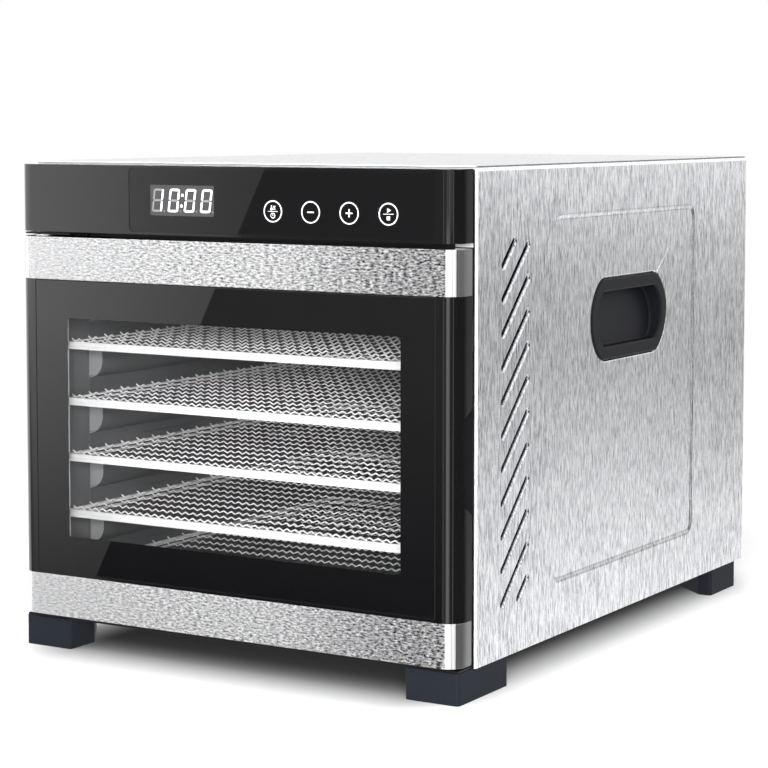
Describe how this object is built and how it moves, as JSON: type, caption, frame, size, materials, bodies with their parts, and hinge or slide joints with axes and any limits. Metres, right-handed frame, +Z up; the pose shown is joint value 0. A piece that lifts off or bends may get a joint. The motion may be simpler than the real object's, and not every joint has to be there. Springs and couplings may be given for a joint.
{
  "type": "food dehydrator",
  "caption": "Box-shaped food dehydrator with a side-hung glazed door, touch fascia, wire trays on side racks, a rear fan and heater, and recessed side handles.",
  "frame": {"origin": "on the floor under the middle of the whole object's box", "axes": "+X to the user's right when facing the door, +Y from the door towards the back, +Z up"},
  "size_m": [0.338, 0.45, 0.325],
  "materials": {
    "shell_steel": "vertically brushed stainless steel",
    "trim_steel": "finely brushed stainless steel band",
    "chamber_steel": "satin stainless sheet",
    "tray_steel": "polished stainless wire and strip",
    "frame_paint": "satin black painted steel",
    "pan_steel": "galvanised steel sheet",
    "fascia_black": "gloss black moulding",
    "panel_glass": "black-backed touch glass",
    "display_grey": "numeric display face",
    "door_black": "gloss black door frame",
    "door_pane": "tempered glass with a black border",
    "handle_plastic": "fine-textured black plastic",
    "foot_plastic": "satin charcoal plastic",
    "cover_plastic": "fine-textured black plastic",
    "gasket_rubber": "silicone seal",
    "nylon": "natural nylon",
    "screw_steel": "plated steel",
    "motor_steel": "plain steel laminations and can",
    "fan_aluminium": "stamped aluminium",
    "heater_sheath": "heat-tinted steel tube",
    "cutout_ceramic": "pale ceramic",
    "board_green": "circuit board with its parts",
    "loom_black": "sleeved wires",
    "magnet_housing": "magnet in a black housing"
  },
  "bodies": {
    "cabinet": {"outer_shell": "shell_steel", "base_pan": "pan_steel", "front_frame": "frame_paint", "rear_panel": "pan_steel", "rear_vent_cover": "cover_plastic", "chamber_liner": "chamber_steel", "rear_bulkhead": "chamber_steel", "left_rack": "chamber_steel", "right_rack": "chamber_steel", "fan_guard": "chamber_steel", "control_fascia": "fascia_black", "control_glass": "panel_glass", "display_module": "display_grey", "control_board": "board_green", "power_board": "board_green", "board_standoffs": "nylon", "wiring_loom": "loom_black", "temperature_probe": "screw_steel", "thermal_cutout": "cutout_ceramic", "heater_element": "heater_sheath", "heater_clips": "chamber_steel", "fan_motor": "motor_steel", "motor_bracket": "chamber_steel", "left_handle_cup": "handle_plastic", "right_handle_cup": "handle_plastic", "front_left_foot": "foot_plastic", "front_right_foot": "foot_plastic", "rear_left_foot": "foot_plastic", "rear_right_foot": "foot_plastic", "foot_screws": "screw_steel", "rear_screws": "screw_steel", "cord_gland": "cover_plastic", "upper_hinge_bracket": "frame_paint", "hinge_pins": "screw_steel", "door_magnets": "magnet_housing"},
    "door": {"door_frame": "door_black", "door_glass": "door_pane", "door_top_trim": "trim_steel", "door_bottom_trim": "trim_steel", "door_back_plate": "frame_paint", "door_gasket": "gasket_rubber", "hinge_bushes": "nylon", "door_strikes": "screw_steel", "door_screws": "screw_steel"},
    "fan": {"fan_shaft": "screw_steel", "fan_impeller": "fan_aluminium", "fan_nut": "screw_steel"},
    "tray_1": {"tray_rim_1": "tray_steel", "tray_mesh_1": "tray_steel"},
    "tray_2": {"tray_rim_2": "tray_steel", "tray_mesh_2": "tray_steel"},
    "tray_3": {"tray_rim_3": "tray_steel", "tray_mesh_3": "tray_steel"},
    "tray_4": {"tray_rim_4": "tray_steel", "tray_mesh_4": "tray_steel"},
    "tray_5": {"tray_rim_5": "tray_steel", "tray_mesh_5": "tray_steel"},
    "tray_6": {"tray_rim_6": "tray_steel", "tray_mesh_6": "tray_steel"}
  },
  "joints": [
    {"name": "door_hinge", "type": "hinge", "parent": "cabinet", "child": "door", "pos_m": [-0.1558, -0.213, 0.15], "axis": [0, 0, -1], "range_deg": [0, 115]},
    {"name": "fan_spin", "type": "hinge", "parent": "cabinet", "child": "fan", "pos_m": [0, 0.165, 0.1485], "axis": [0, 1, 0], "continuous": true},
    {"name": "tray_1_slide", "type": "slide", "parent": "cabinet", "child": "tray_1", "axis": [0, -1, 0], "range_m": [-0.006, 0.006]},
    {"name": "tray_2_slide", "type": "slide", "parent": "cabinet", "child": "tray_2", "axis": [0, -1, 0], "range_m": [-0.006, 0.006]},
    {"name": "tray_3_slide", "type": "slide", "parent": "cabinet", "child": "tray_3", "axis": [0, -1, 0], "range_m": [-0.006, 0.006]},
    {"name": "tray_4_slide", "type": "slide", "parent": "cabinet", "child": "tray_4", "axis": [0, -1, 0], "range_m": [-0.006, 0.006]},
    {"name": "tray_5_slide", "type": "slide", "parent": "cabinet", "child": "tray_5", "axis": [0, -1, 0], "range_m": [-0.006, 0.006]},
    {"name": "tray_6_slide", "type": "slide", "parent": "cabinet", "child": "tray_6", "axis": [0, -1, 0], "range_m": [-0.006, 0.006]}
  ]
}
